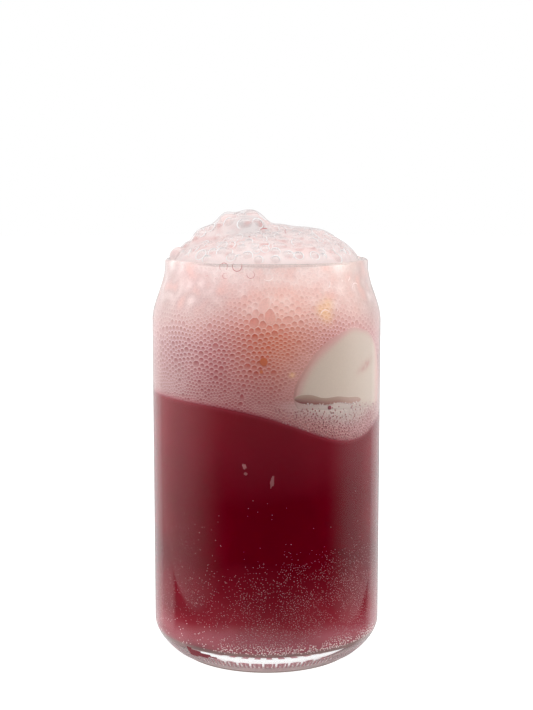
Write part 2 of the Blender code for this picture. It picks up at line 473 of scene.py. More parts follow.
def glass_profile():
    below_rim = GLASS_HEIGHT - RIM_WALL
    half = RIM_WALL / 2
    punt_edge = FOOT_RING_INNER - PUNT_HEIGHT
    foot = [(0, PUNT_HEIGHT), (punt_edge * 0.6, PUNT_HEIGHT), (punt_edge - 0.4 * MM, PUNT_HEIGHT)]
    foot += [(punt_edge + 0.2 * MM, 0.8 * PUNT_HEIGHT), (FOOT_RING_INNER, 0)]
    turn = spaced(-math.pi / 2, 0, 5)
    middle = FOOT_RADIUS - FOOT_ROUNDING
    edge = [
        (middle + FOOT_ROUNDING * math.cos(a), FOOT_ROUNDING * (1 + math.sin(a))) for a in turn
    ]
    wall = [(BODY_RADIUS, z) for z in spaced(HEEL_TOP + 0.5 * MM, SHOULDER_BOTTOM - 0.5 * MM, 12)]
    shoulder = [(outer_radius(z), z) for z in spaced(SHOULDER_BOTTOM, below_rim, 26)]
    rim = [
        (RIM_RADIUS - half + half * math.cos(a), GLASS_HEIGHT - half + half * math.sin(a))
        for a in spaced(0, math.pi, 13)
    ]
    inside = [(inner_radius(z), z) for z in spaced(below_rim, SHOULDER_BOTTOM, 20)]
    corner = []
    for a in spaced(0, math.pi / 2, 14):
        radius = INNER_BODY - FLOOR_CORNER * (1 - math.cos(a))
        corner.append((radius, FLOOR_HEIGHT + FLOOR_CORNER * (1 - math.sin(a))))
    inner_wall = [(INNER_BODY, z) for z in spaced(SHOULDER_BOTTOM - 0.5 * MM, 14 * MM, 6)]
    inside += inner_wall + corner + [(0, FLOOR_HEIGHT)]
    return foot + edge + heel_profile() + wall + shoulder + rim + inside


def glass_material(settings):
    """Soda-lime glass, pressed and fire-polished: clear, with a sharp gloss and a faint waviness."""
    made, tree = new_material("soda_lime_glass")
    place = add(tree, "TexCoord").outputs["Object"]
    waves = add(tree, "TexNoise", {"Vector": place, "Scale": 1 / (14 * MM), "Detail": 1.0})
    relief = add(
        tree, "Bump", {"Strength": 0.05, "Distance": 0.5 * MM, "Height": waves.outputs["Fac"]}
    )
    shader = add(
        tree,
        "BsdfPrincipled",
        {
            "Base Color": rgba(settings.colour),
            "Roughness": settings.roughness,
            "IOR": 1.52,
            "Transmission Weight": 1.0,
            "Normal": relief.outputs["Normal"],
        },
    )
    add(tree, "OutputMaterial", {"Surface": shader.outputs[0]})
    return made


def glass_finish(centre):
    """Which finish the glass has at a face's centre, 0 where it is clear."""
    away = math.hypot(centre.x, centre.y)
    if abs(centre.z) < MERGE and FOOT_RING_INNER < away < FOOT_RADIUS:
        return GROUND
    if away > FOOT_RADIUS - FOOT_ROUNDING and centre.z < FOOT_ROUNDING:
        return FOOT_EDGE
    if away <= FOOT_RADIUS:
        return 0
    if centre.z < KNURL_BOTTOM:
        return PRESSED
    azimuth = azimuth_of(centre)
    along = (WEDGE_TIP[0] - azimuth) / WEDGE_STEP
    lowest = WEDGE_TIP[1] - WEDGE_BELOW * along
    highest = WEDGE_TIP[1] + WEDGE_ABOVE * along
    if along < WEDGE_STEPS and lowest < centre.z < highest:
        return PAINTED_DRINK_SHADE
    turn = round(azimuth * GLASS_STEPS / 360 - 0.5)
    return KNURL_SHADE if centre.z < KNURL_TOP and turn % 2 else 0


class FLOAT_OT_glass(bpy.types.Operator):
    """Adds the can-shaped glass, with a knurled ring under its foot"""

    bl_idname = "mesh.float_glass"
    bl_label = "Glass"

    def execute(self, context):
        bm = turned(glass_profile(), GLASS_STEPS)
        ring = []
        for face in bm.faces:
            centre = face.calc_center_median()
            away = math.hypot(centre.x, centre.y)
            if centre.z < MERGE and FOOT_RING_INNER < away < FOOT_RADIUS:
                ring.append(face)
        ring.sort(key=lambda face: azimuth_of(face.calc_center_median()))
        bmesh.ops.inset_individual(bm, faces=ring, thickness=0.05 * MM)
        bmesh.ops.inset_individual(bm, faces=ring[::2], thickness=0.12 * MM, depth=-NOTCH_DEPTH)
        for face in bm.faces:
            face.material_index = glass_finish(face.calc_center_median())
        material = glass_material(context.scene.float_glass)
        shell = add_piece("glass_shell", bm, material, ["glass"])
        # The pinks of the ground and pressed glass are painted reflections of the drink, and the
        # knurls' ticks and the dark wedge are its painted shade
        for name, colour, looks in (
            ("ground_glass", "AC8D8B", MATT_GLASS),
            ("pressed_glass_foot", "B69593", PRESSED_GLASS),
            ("knurl_painted_shade", "8A4249", PRESSED_GLASS),
            ("matt_glass_foot_edge", "8C7A75", MATT_GLASS),
            ("painted_drink_shade_in_glass", "74202C", MATT_GLASS),
        ):
            shell.data.materials.append(plain_material(name, colour, looks))
        return {"FINISHED"}


def soda_material(settings):
    """Dark red soda, cloudy with melted ice cream: deep in the middle, pinker near the floor, with
    painted light making it redder at both sides and painted shade darker low at the left.
    """
    made, tree = new_material("cloudy_red_soda")
    place = add(tree, "TexCoord").outputs["Object"]
    height = add(tree, "SeparateXYZ", {"Vector": place}).outputs["Z"]
    clouds = add(tree, "TexNoise", {"Vector": place, "Scale": 1 / (16 * MM), "Detail": 4.0})
    shifted = add(
        tree,
        "Math",
        {0: clouds.outputs["Fac"], 1: 10 * MM, 2: height},
        operation="MULTIPLY_ADD",
    )
    share = add(
        tree,
        "MapRange",
        {"Value": shifted.outputs[0], "From Min": 6 * MM, "From Max": 96 * MM},
    )
    ramp = add(tree, "ValToRGB", {"Fac": share.outputs["Result"]})
    colours = ((0.04, settings.low_colour), (0.13, "9E4F59"), (0.19, "8C2C37"), (0.29, "761624"))
    colours += ((0.40, settings.colour), (0.62, settings.colour), (0.80, "721825"), (0.95, "762029"))
    stops = ramp.color_ramp.elements
    while len(stops) < len(colours):
        stops.new(0.5)
    for stop, (at, colour) in zip(stops, colours):
        stop.position = at
        stop.color = rgba(colour)
    foot = add(
        tree,
        "MapRange",
        {"Value": height, "From Min": 9.0 * MM, "From Max": 8.3 * MM, "To Max": 0.75},
    )
    colour = add(
        tree,
        "Mix",
        {"Factor": foot.outputs["Result"], "A": ramp.outputs["Color"], "B": rgba("9A8780")},
        data_type="RGBA",
    )
    # The sides attribute is painted light and shade: redder towards both sides, darker low at the left
    sides = add(tree, "Attribute", attribute_name="sides").outputs["Fac"]
    colour = add(
        tree,
        "Mix",
        {"Factor": sides, "A": colour.outputs[2], "B": rgba("A01826")},
        data_type="RGBA",
    )
    shade = add(
        tree,
        "MapRange",
        {"Value": sides, "From Min": -0.4, "From Max": 0.0, "To Min": 0.72, "To Max": 1.0},
    )
    colour = add(tree, "HueSaturation", {"Color": colour.outputs[2], "Value": shade.outputs["Result"]})
    near = add(tree, "Attribute", attribute_name="near").outputs["Fac"]
    colour = add(
        tree,
        "Mix",
        {"Factor": near, "A": colour.outputs["Color"], "B": rgba("86323C")},
        data_type="RGBA",
    )
    shader = add(
        tree,
        "BsdfPrincipled",
        {"Base Color": colour.outputs[2], "Roughness": 0.6, "Specular IOR Level": 0.0},
    )
    add(tree, "OutputMaterial", {"Surface": shader.outputs[0]})
    return made


class FLOAT_OT_drink(bpy.types.Operator):
    """Adds the red soda, up to its dented surface under the foam"""

    bl_idname = "mesh.float_drink"
    bl_label = "Soda"

    def execute(self, context):
        floor = FLOOR_HEIGHT - 0.2 * MM
        corner = spaced(floor, FLOOR_HEIGHT + FLOOR_CORNER, 14)
        walls = corner + spaced(20 * MM, DRINK_LEVEL - 2.4 * MM, 38)
        walls += spaced(DRINK_LEVEL - 2.0 * MM, DRINK_LEVEL, 6)
        side = []
        for z in walls:
            radius = inner_radius(max(z, FLOOR_HEIGHT)) + REACH_SODA
            side.append((radius, z))
        base = [(side[0][0] * share, floor) for share in (0, 0.5)]
        top = [(side[-1][0] * share, DRINK_LEVEL) for share in spaced(1, 0, 20)[1:]]
        bm = turned(base + side + top, SODA_STEPS)
        near = bm.verts.layers.float.new("near")
        sides = bm.verts.layers.float.new("sides")
        for vert in bm.verts:
            vert[near] = 0.8 * between(vert.co.z, DRINK_LEVEL - 1.4 * MM, DRINK_LEVEL)
            azimuth = azimuth_of(vert.co)
            # Painted light makes the drink redder towards both sides, and painted shade darker low at
            # the left
            edge = between(abs(azimuth), 48, 66) * between(vert.co.z, 34 * MM, 48 * MM)
            low = bump(azimuth + 56, 17) * between(vert.co.z, 28 * MM, 18 * MM)
            vert[sides] = 0.2 * edge - 0.4 * low * between(vert.co.z, 14 * MM, 20 * MM)
            share = between(vert.co.z, HOLLOW_START, DRINK_LEVEL)
            away = math.hypot(vert.co.x, vert.co.y)
            inside = min(INNER_BODY / away, 1.0) if away > 0 else 1.0
            level = drink_surface(vert.co.x * inside, vert.co.y * inside)
            vert.co.z -= share * (DRINK_LEVEL - level)
        for face in bm.faces:
            if face.calc_center_median().z < FLOOR_HEIGHT:
                face.material_index = 1
        material = soda_material(context.scene.float_drink)
        soda = add_piece("soda", bm, material, ["drink"])
        underside = plain_material("soda_on_glass_floor", "F2E4E4", MIRRORING)
        soda.data.materials.append(underside)
        return {"FINISHED"}


def toned_material(name, dark, light, roughness):
    """A wet surface whose colour runs from dark to light with each bead's own tone."""
    made, tree = new_material(name)
    tone = add(tree, "Attribute", attribute_name="tone").outputs["Fac"]
    colour = add(
        tree,
        "Mix",
        {"Factor": tone, "A": rgba(dark), "B": rgba(light)},
        data_type="RGBA",
    )
    shader = add(
        tree,
        "BsdfPrincipled",
        {"Base Color": colour.outputs[2], "Roughness": roughness},
    )
    add(tree, "OutputMaterial", {"Surface": shader.outputs[0]})
    return made


def fizz_density(azimuth, z):
    """How likely a gas bubble clings to the wall: most at the front right, below half height."""
    height = z / MM
    floor_band = 0.42 * bump(height - 10.4, 2.4)
    cloud = 0.95 * bump((azimuth - 38 + 180) % 360 - 180, 27) * between(height, 44, 22)
    veil = 0.10 * between(height, 42, 12)
    sparse = 0.015 * between(height, 66, 30)
    far_side = 0.5 * bump((azimuth - 205 + 180) % 360 - 180, 45) * between(height, 38, 14)
    return floor_band + cloud + veil + sparse + far_side


class FLOAT_OT_fizz(bpy.types.Operator):
    """Adds the gas bubbles that cling to the wall, and the pale flecks in the soda"""

    bl_idname = "mesh.float_fizz"
    bl_label = "Gas bubbles"

    def execute(self, context):
        draw = random.Random(5)
        places, tones = [], []
        wanted = context.scene.float_drink.bubble_count
        taken = set()
        for _ in range(12 * wanted):
            azimuth = draw.uniform(-180, 180)
            z = draw.uniform(*FIZZ_HEIGHTS) * MM
            field = (round(azimuth / FIZZ_FIELD[0]), round(z / FIZZ_FIELD[1]))
            spot = at_wall(azimuth, z, 0)
            clump = 0.62 + 1.0 * noise.noise(spot / (8 * MM)) + 0.7 * noise.noise(spot / (2.5 * MM))
            likely = fizz_density(azimuth, z) * clump
            if len(places) == wanted or field in taken or draw.random() > likely:
                continue
            taken.add(field)
            low = between(z / MM, 13, 9)
            single = bump(azimuth + 48, 15) * between(z / MM, 19, 14)
            if single > 0.3 and draw.random() < 0.75:
                continue
            low = max(low, single)
            radius = (draw.uniform(0.13, 0.20) + 0.09 * low) * MM
            outward = wall_place(azimuth, z, REACH_SODA) @ Matrix.Rotation(math.pi / 2, 4, "X")
            places.append(outward @ Matrix.Diagonal((radius, radius, FIZZ_THICKNESS, 1)))
            tones.append(draw.uniform(0.15, 0.5) + 0.8 * low)
        bead = bmesh.new()
        bmesh.ops.create_cone(
            bead, cap_ends=True, cap_tris=True, segments=6, radius1=1.0, radius2=0.4, depth=1.0
        )
        bmesh.ops.triangulate(bead, faces=bead.faces)
        material = toned_material("gas_bubble_in_soda", "8E4049", "FBEAE8", 0.2)
        add_scattered("gas_bubbles", bead, places, material, tones)
        self.add_flecks()
        return {"FINISHED"}

    def add_flecks(self):
        """Five flakes of frozen cream, each (azimuth, height, half width, half height, turn)."""
        flecks = ((-10.8, 69.9, 0.62, 0.95, -25), (-10.2, 67.6, 0.5, 0.55, 20))
        flecks += ((2.7, 65.2, 0.62, 1.9, 8), (150.0, 61.0, 0.6, 1.4, 12))
        flecks += ((-128.0, 72.5, 0.7, 1.0, -30),)
        bm = bmesh.new()
        for azimuth, height, half_width, half_height, turn in flecks:
            made = bmesh.ops.create_icosphere(bm, subdivisions=3, radius=1.0)
            for vert in made["verts"]:
                rough = 1 + 0.45 * noise.noise(vert.co * 1.6 + Vector((azimuth, 0, 0)))
                vert.co *= rough
            size = Matrix.Diagonal((half_width * MM, 0.25 * MM, half_height * MM, 1))
            tilt = Matrix.Rotation(math.radians(turn), 4, "Y")
            place = wall_place(azimuth, height * MM, REACH_SODA)
            bmesh.ops.transform(bm, matrix=place @ tilt @ size, verts=made["verts"])
        material = cream_material("frozen_cream_flake", 0.7 * MM, (0.93, 1.06), "9C6264")
        add_piece("cream_flecks", bm, material)


def cream_material(name, crystal, shades, hex_colour=None):
    """Frozen cream: soft and pale, with a fine grain of ice crystals between two shades.

    Its colour is the mesh's own tone where none is given.
    """
    made, tree = new_material(name)
    place = add(tree, "TexCoord").outputs["Object"]
    if hex_colour:
        tone = rgba(hex_colour)
    else:
        tone = add(tree, "Attribute", attribute_name="tone").outputs["Color"]
    grain = add(tree, "TexNoise", {"Vector": place, "Scale": 1 / crystal, "Detail": 3.0})
    shade = add(
        tree,
        "MapRange",
        {"Value": grain.outputs["Fac"], "To Min": shades[0], "To Max": shades[1]},
    )
    colour = add(tree, "HueSaturation", {"Color": tone, "Value": shade.outputs["Result"]})
    shader = add(
        tree,
        "BsdfPrincipled",
        {"Base Color": colour.outputs["Color"], "Roughness": 0.5, "Specular IOR Level": 0.1},
    )
    add(tree, "OutputMaterial", {"Surface": shader.outputs[0]})
    return made


def gap_outline(along):
    """Height of the middle of the air gap and half its height, along it from -1 to 1."""
    middle = -1.2 * along - 0.45 * bump(along + 0.2, 0.16) + 0.25 * bump(along - 0.2, 0.12)
    middle -= 0.2 * bump(along - 0.55, 0.14)
    half = 1.08 + 0.46 * between(along, -0.28, -0.62) - 0.12 * bump(along - 0.22, 0.12)
    half *= max(1 - abs(along) ** 7, 0.0) ** 0.6
    return GAP_HEIGHT + middle * MM, half * MM


def graded(stops, height):
    """The linear colour at a height between (height, hex) stops."""
    tone = linear(stops[0][1])
    for (low, first), (high, second) in zip(stops, stops[1:]):
        if height >= low:
            tone = mixed(linear(first), linear(second), (height - low) / (high - low))
    return tone


# The foam's colour inside its cells and in the films between them, by height in millimetres. Lower
# down it is darker: partly wetter, redder foam and partly painted shade, where less light comes down
# through the foam.
CELL_COLOURS = ((76, "964F54"), (84, "985054"), (90, "91484C"), (98, "9C5356"), (107, "A86163"))
CELL_COLOURS += ((114, "C2817D"), (120, "D5A29D"), (126, "E9C8C4"), (132, "F5DEDA"))
FILM_COLOURS = ((84, "CAA19D"), (90, "C49796"), (98, "CEA3A3"), (107, "DDB8B9"))
FILM_COLOURS += ((120, "E5CAC7"), (126, "EFDBD8"), (132, "F8EBE9"))


# Soft yellow spots where cream shows through the foam: azimuth, height and spread in millimetres
YELLOW_SPOTS = ((33.0, 120.2, 1.4), (28.5, 118.6, 1.3), (31.3, 116.6, 1.4), (12.5, 98.8, 0.6))


def foam_tints(azimuth, z):
    """The foam's tints at the wall, in the order in which they lie over each other.

    Each is its share there, the cells' colour and the most of it, the films' colour and the most
    of it, and how much more or less the cells stand out.
    """
    height = z / MM
    above = height - drink_line(azimuth) / MM
    aside = abs(azimuth)
    under = bump(azimuth - 42, 24) * between(height, 92, 88) * between(above, 2, 9)
    lip = max(bump(azimuth - 64, 8), 0.8 * bump(azimuth - 36, 14)) * bump(height - 87.6, 1.4)
    patch = noise.noise(at_wall(azimuth, z, 0) / (3.6 * MM)) * between(height, 115, 122)
    tints = [
        # Greyer towards both sides, a painted shade
        (between(aside, 30, 80), "B59C9A", 0.40, "C9B6B4", 0.45, 0.0),
        # Orange syrup in the middle, and smears at the top left
        (bump(azimuth - 6, 14) * bump(height - 109, 8), "D2643B", 0.80, "E8B79E", 0.60, 0.2),
        (bump(azimuth + 44, 20) * bump(height - 121, 4.5), "AF928F", 0.75, "BBA2A0", 0.65, -0.6),
        (bump(azimuth + 50, 16) * between(height, 122, 127), "C3A09E", 0.75, "CAAAA8", 0.75, 0.0),
        # Coral in the neck, and dull beside the scoop
        (bump(azimuth - 11, 11) * bump(height - 121.5, 5), "F0C5BA", 0.75, "F9DED6", 0.75, 0.0),
        (bump(azimuth - 22, 11) * bump(height - 97, 9), "B89289", 0.70, "B89289", 0.0, -0.4),
        # Grey-beige under the scoop, with a pale lip at the air gap, and right of it in the neck
        (under, "B7A9A4", 0.85, "BFB3AD", 0.85, -0.6),
        (lip, "CDC2BA", 0.80, "D5CBC4", 0.80, 0.0),
        (bump(azimuth - 64, 24) * between(height, 108, 121), "CAAEA4", 0.7, "D7C7BF", 0.7, -0.6),
    ]
    for spot, level, size in YELLOW_SPOTS:
        glow = bump(azimuth - spot, 1.6 * size) * bump(height - level, size)
        tints.append((glow, "EBC283", 0.5, "F0D2A4", 0.5, 0.0))
    return tints + [
        # Darker at the edges of the neck, a painted shade, and red where the drink wets it
        (between(aside, 46, 74) * between(height, 108, 120), "AC9693", 0.85, "B8A4A1", 0.85, 0.0),
        (between(above, 2.6, 0.4), "8C444D", 0.6, "B47B7F", 0.6, 0.0),
        (between(above, 0.9, 0.0), "8C3A45", 0.9, "96434E", 0.9, 0.0),
        # Pink and white patches in the neck
        (max(patch, 0.0), "E9AEA2", 0.5, "EDB9AE", 0.5, 0.0),
        (max(-patch, 0.0), "FFF4EF", 0.5, "FFF8F5", 0.5, 0.0),
    ]


def foam_colours(azimuth, z):
    """The colours of a cell and of its films at the wall, and how far the cell stands out there."""
    height = z / MM
    cell = graded(CELL_COLOURS, height)
    film = graded(FILM_COLOURS, height)
    drift = noise.noise(at_wall(azimuth, z, 0) / (13 * MM))
    cell = mixed(cell, linear("E9C6C0"), 0.20 * drift + 0.02)
    # Less red towards the left: a painted shade
    left = bump(azimuth + 55, 20)
    cell, film = ((red * (1 - 0.16 * left), *rest) for red, *rest in (cell, film))
    contrast = 1.15 - 0.6 * between(height, 117, 127)
    contrast *= 1 - 0.25 * between(abs(azimuth), 45, 70)
    for share, cell_tint, cell_most, film_tint, film_most, relief in foam_tints(azimuth, z):
        cell = mixed(cell, linear(cell_tint), cell_most * share)
        film = mixed(film, linear(film_tint), film_most * share)
        contrast *= 1 + relief * share
    return cell, film, contrast


def cell_width(azimuth, z):
    """How far apart the net's points are at the wall, as a multiple of the cells' own distance."""
    height = z / MM
    above = height - drink_line(azimuth) / MM
    width = 1.46 - 0.60 * between(above, 13, 1.5)
    width += 0.22 * between(abs(azimuth), 30, 65) * between(above, 4, 12)
    width += 0.80 * bump(azimuth, 9) * bump(height - 116.5, 3.4)
    width -= 0.50 * bump(azimuth + 44, 22) * bump(height - 121, 5)
    width -= 0.45 * bump(azimuth - 20, 12) * bump(height - 100, 9)
    width += 1.0 * between(height, 125, 129)
    return max(width, 0.82)


def spread_points(fixed, place, candidate, spacing, tries):
    """The fixed points, and random ones at least the spacing apart where they are placed."""
    points = list(fixed)
    spots = np.empty((len(fixed) + tries, 3))
    for index, point in enumerate(points):
        spots[index] = place(*point)
    for _ in range(tries):
        point = candidate()
        spot = np.array(place(*point))
        near = np.sum((spots[: len(points)] - spot) ** 2, axis=1).min()
        if near > spacing(*point) ** 2:
            spots[len(points)] = spot
            points.append(point)
    return points


def triangle_net(points):
    """A flat bmesh of triangles between the points, as even as they can be."""
    flat = [Vector(point) for point in points]
    places, _, faces, *_ = geometry.delaunay_2d_cdt(flat, [], [], 0, MERGE / 10)
    bm = bmesh.new()
    verts = [bm.verts.new((x, y, 0)) for x, y in places]
    for face in faces:
        bm.faces.new([verts[index] for index in face])
    return bm


def smooth_inside(bm, rounds):
    """Evens out the distances between the points inside the boundary."""
    inner = [vert for vert in bm.verts if not vert.is_boundary]
    for _ in range(rounds):
        bmesh.ops.smooth_vert(
            bm, verts=inner, factor=0.5, use_axis_x=True, use_axis_y=True, use_axis_z=True
        )


def split_into_cells(bm, draw, chance):
    """Turns each point and each triangle into a many-sided cell, and joins some pairs."""
    bmesh.ops.bevel(
        bm,
        geom=bm.verts[:],
        offset=33.3,
        offset_type="PERCENT",
        affect="VERTICES",
        segments=1,
        profile=0.5,
        material=-1,
    )
    joined, used = [], set()
    for edge in draw.sample(bm.edges[:], len(bm.edges)):
        around = set(edge.link_faces)
        if edge.is_boundary or draw.random() > chance(edge.verts[0].co) or around & used:
            continue
        used |= around
        joined.append(edge)
    bmesh.ops.dissolve_edges(bm, edges=joined, use_verts=True)
    smooth_inside(bm, 4)


def ring_cells(bm, cells, border, arc, film):
    """Gives each cell a border, a thin painted arc of light at its top and a painted shade in its
    middle.

    Film is the share of the light film's colour: 1 on the painted arc and 0 where the painted shade is
    darkest.
    """
    for vert in bm.verts:
        vert[film] = 0.36
    steps = ((border, 0.38, 1.05, -0.02), (arc, 0.10, -0.20, 0.30))
    for thickness, middle, high_side, low_side in steps:
        bmesh.ops.inset_individual(bm, faces=cells, thickness=thickness, use_even_offset=True)
        for face in cells:
            centre = face.calc_center_median()
            across = math.sqrt(face.calc_area() / math.pi)
            for vert in face.verts:
                high = (vert.co.z - centre.z) / across
                vert[film] = middle + (high_side * high if high > 0 else -low_side * high)


class FLOAT_OT_foam(bpy.types.Operator):
    """Adds the foam in the glass, as cells pressed against the wall"""

    bl_idname = "mesh.float_foam"
    bl_label = "Foam"

    def execute(self, context):
        draw = random.Random(3)
        size = NET_SPREAD * context.scene.float_foam.cell / NET_CELL
        half = math.pi * INNER_BODY
        rise = NET_HIGH - NET_LOW
        rows = [NET_LOW + rise * i / NET_ROWS for i in range(1, NET_ROWS)]
        columns = [-half + 2 * half * i / NET_COLUMNS for i in range(NET_COLUMNS + 1)]
        seam = [(-half, z) for z in rows]
        ends = [(along, z) for along in columns for z in (NET_LOW, NET_HIGH)]

        def place(along, z):
            angle = along / INNER_BODY
            return (INNER_BODY * math.sin(angle), -INNER_BODY * math.cos(angle), z)

        def spacing(along, z):
            azimuth = math.degrees(along / INNER_BODY)
            if z < drink_line(azimuth) - 4 * MM:
                return NET_HIDDEN
            return size * cell_width(azimuth, z) * MM

        def candidate():
            return (draw.uniform(-half, half), draw.uniform(NET_LOW, NET_HIGH))

        points = spread_points(seam + ends, place, candidate, spacing, NET_TRIES)
        points += [(half, z) for z in rows]
        bm = triangle_net(points)
        for _ in range(3):
            smooth_inside(bm, 3)
            points = [vert.co.xy for vert in bm.verts]
            bm.free()
            bm = triangle_net(points)
        for vert in bm.verts:
            vert.co = Vector(place(vert.co.x, vert.co.y))
        bmesh.ops.remove_doubles(bm, verts=bm.verts, dist=MERGE)

        def chance(spot):
            azimuth, height = azimuth_of(spot), spot.z / MM
            return 0.0006 + 0.008 * bump(azimuth, 12) * bump(height - 116, 5)

        split_into_cells(bm, draw, chance)
        cells = []
        for face in bm.faces:
            centre = face.calc_center_median()
            if centre.z > drink_line(azimuth_of(centre)) - 2 * MM:
                cells.append(face)
        bmesh.ops.delete(bm, geom=list(set(bm.faces) - set(cells)), context="FACES")
        # The film attribute holds the pale films between the cells and, in each cell, its painted arc
        # of light and painted shade
        film = bm.verts.layers.float.new("film")
        tone = bm.verts.layers.float_color.new("tone")
        ring_cells(bm, cells, CELL_BORDER, CELL_ARC, film)
        for vert in bm.verts:
            azimuth = azimuth_of(vert.co)
            cell, light, contrast = foam_colours(azimuth, vert.co.z)
            share = min(max(vert[film], 0.0), 1.2)
            raised = FOAM_RELIEF * min(share, 0.6) * contrast
            vert.co = at_wall(azimuth, vert.co.z, REACH_FOAM + raised)
            share = 0.42 + (share - 0.42) * contrast
            vert[tone] = (*(a + (b - a) * share for a, b in zip(cell, light)), 1.0)
            vert[film] = share
        edges = [edge for edge in bm.edges if edge.is_boundary]
        bmesh.ops.holes_fill(bm, edges=edges, sides=0)
        bmesh.ops.recalc_face_normals(bm, faces=bm.faces)
        add_piece("foam_cells", bm, foam_material(), ["foam"])
        self.add_details()
        return {"FINISHED"}

    def add_details(self):
        """Single bubbles in the foam: dark pits under the scoop, orange ones, and pale ones."""
        draw = random.Random(21)
        places, tones = [], []

        def add_bead(azimuth, height, wide, high, tone, reach=REACH_DROP):
            size = Matrix.Diagonal((wide * MM, 0.08 * MM, high * MM, 1))
            places.append(wall_place(azimuth, height * MM, reach) @ size)
            tones.append(tone)

        # Dark red beads stand for small holes in the foam under the scoop: their darkness is painted
        # shade
        taken = set()
        for _ in range(6000):
            azimuth = draw.uniform(4, 74)
            line = drink_line(azimuth) / MM
            height = draw.uniform(line + 0.4, 88.0)
            square = (round(azimuth / 1.5), round(height / 0.95))
            likely = 0.06 + 0.42 * between(height - line, 9, 1.5)
            middle, half = gap_outline((azimuth - GAP_AZIMUTH) / GAP_HALF_ANGLE)
            if square in taken or draw.random() > likely or height * MM > middle - half - 0.4 * MM:
                continue
            taken.add(square)
            size = draw.uniform(0.14, 0.28)
            long = size * draw.uniform(1.0, 1.5)
            add_bead(azimuth, height, size, long, draw.uniform(0.1, 0.9), REACH_PIT)
        add_bead(32.3, 87.8, 0.74, 0.68, 0.0)
        material = toned_material("shaded_foam_pit", "8E414B", "BA908E", 0.4)
        add_scattered("foam_pits", ball(2), places, material, tones)

        places, tones = [], []
        add_bead(-1.3, 103.1, 1.2, 1.3, 0.0)
        add_bead(-2.5, 100.0, 0.55, 0.6, 0.25)
        material = toned_material("orange_syrup_drop", "B85A30", "D98E70", 0.3)
        add_scattered("syrup_drops", ball(3), places, material, tones)

        places, tones = [], []
        for _ in range(70):
            along = draw.uniform(-0.75, 0.85)
            middle, half = gap_outline(along)
            size = draw.uniform(0.10, 0.20)
            lower = (middle - half) / MM + draw.uniform(-0.25, 0.30)
            azimuth = GAP_AZIMUTH + GAP_HALF_ANGLE * along
            add_bead(azimuth, lower, size, size, draw.uniform(0.3, 1.0), REACH_BEAD)
        material = toned_material("white_foam_bead", "B4A29E", "DDD2CE", 0.25)
        add_scattered("foam_beads", ball(2), places, material, tones)
        self.add_outlines()

    def add_outlines(self):
        """Outlines of the large bubbles behind the neck, each (azimuth, height, radius, turn)."""
        pale = ((48.8, 128.6, 2.3, 190), (31.9, 126.7, 2.6, 215), (35.5, 118.9, 1.9, 195))
        pale += ((30.4, 116.8, 1.8, 15), (0.8, 129.5, 1.6, 200), (56.0, 124.0, 2.0, 20))
        pale += ((-150.0, 127.0, 2.2, 190), (165.0, 124.5, 2.0, 10), (110.0, 128.0, 2.4, 200))
        dark = ((-24.1, 132.0, 1.3, 0), (-22.9, 129.2, 0.9, 100), (-8.6, 129.8, 1.2, 200))
        dark += ((-16.2, 132.3, 1.5, 180), (-34.5, 128.8, 0.4, 0), (-28.1, 128.3, 0.35, 60))
        dark += ((140.0, 130.0, 1.3, 40), (-120.0, 129.0, 1.0, 120))
        # The pale arcs are the films' wet edges with a painted highlight on them
        for name, rings, angle, thick, colour in (
            ("pale_outlines", pale, 2.4, 1.6, "FFF1EE"),
            ("dark_outlines", dark, 4.6, 1.3, "C98280"),
        ):
            places = []
            for azimuth, height, radius, turn in rings:
                upright = Matrix.Rotation(math.pi / 2, 4, "X")
                start = Matrix.Rotation(math.radians(turn) + (math.pi - angle) / 2, 4, "Z")
                size = Matrix.Diagonal((radius * MM, radius * MM, thick * MM, 1))
                place = wall_place(azimuth, height * MM, REACH_OUTLINE)
                places.append(place @ upright @ start @ size)
            material = plain_material("film_edge_" + name[:4], colour, WET)
            add_scattered(name, rim_template(angle), places, material)


def foam_material():
    """Wet soda foam: soft and milky, with the cells' tones, painted light and shade among them, and
    finer cells between them.
    """
    made, tree = new_material("wet_soda_foam")
    place = add(tree, "TexCoord").outputs["Object"]
    tone = add(tree, "Attribute", attribute_name="tone").outputs["Color"]
    fine = add(tree, "TexVoronoi", {"Vector": place, "Scale": 1 / (0.6 * MM)})
    shade = add(
        tree,
        "MapRange",
        {"Value": fine.outputs["Distance"], "From Max": 0.7, "To Min": 0.95, "To Max": 1.06},
    )
    colour = add(tree, "HueSaturation", {"Color": tone, "Value": shade.outputs["Result"]})
    shader = add(
        tree,
        "BsdfPrincipled",
        {"Base Color": colour.outputs["Color"], "Roughness": 0.35, "Specular IOR Level": 0.06},
    )
    add(tree, "OutputMaterial", {"Surface": shader.outputs[0]})
    return made


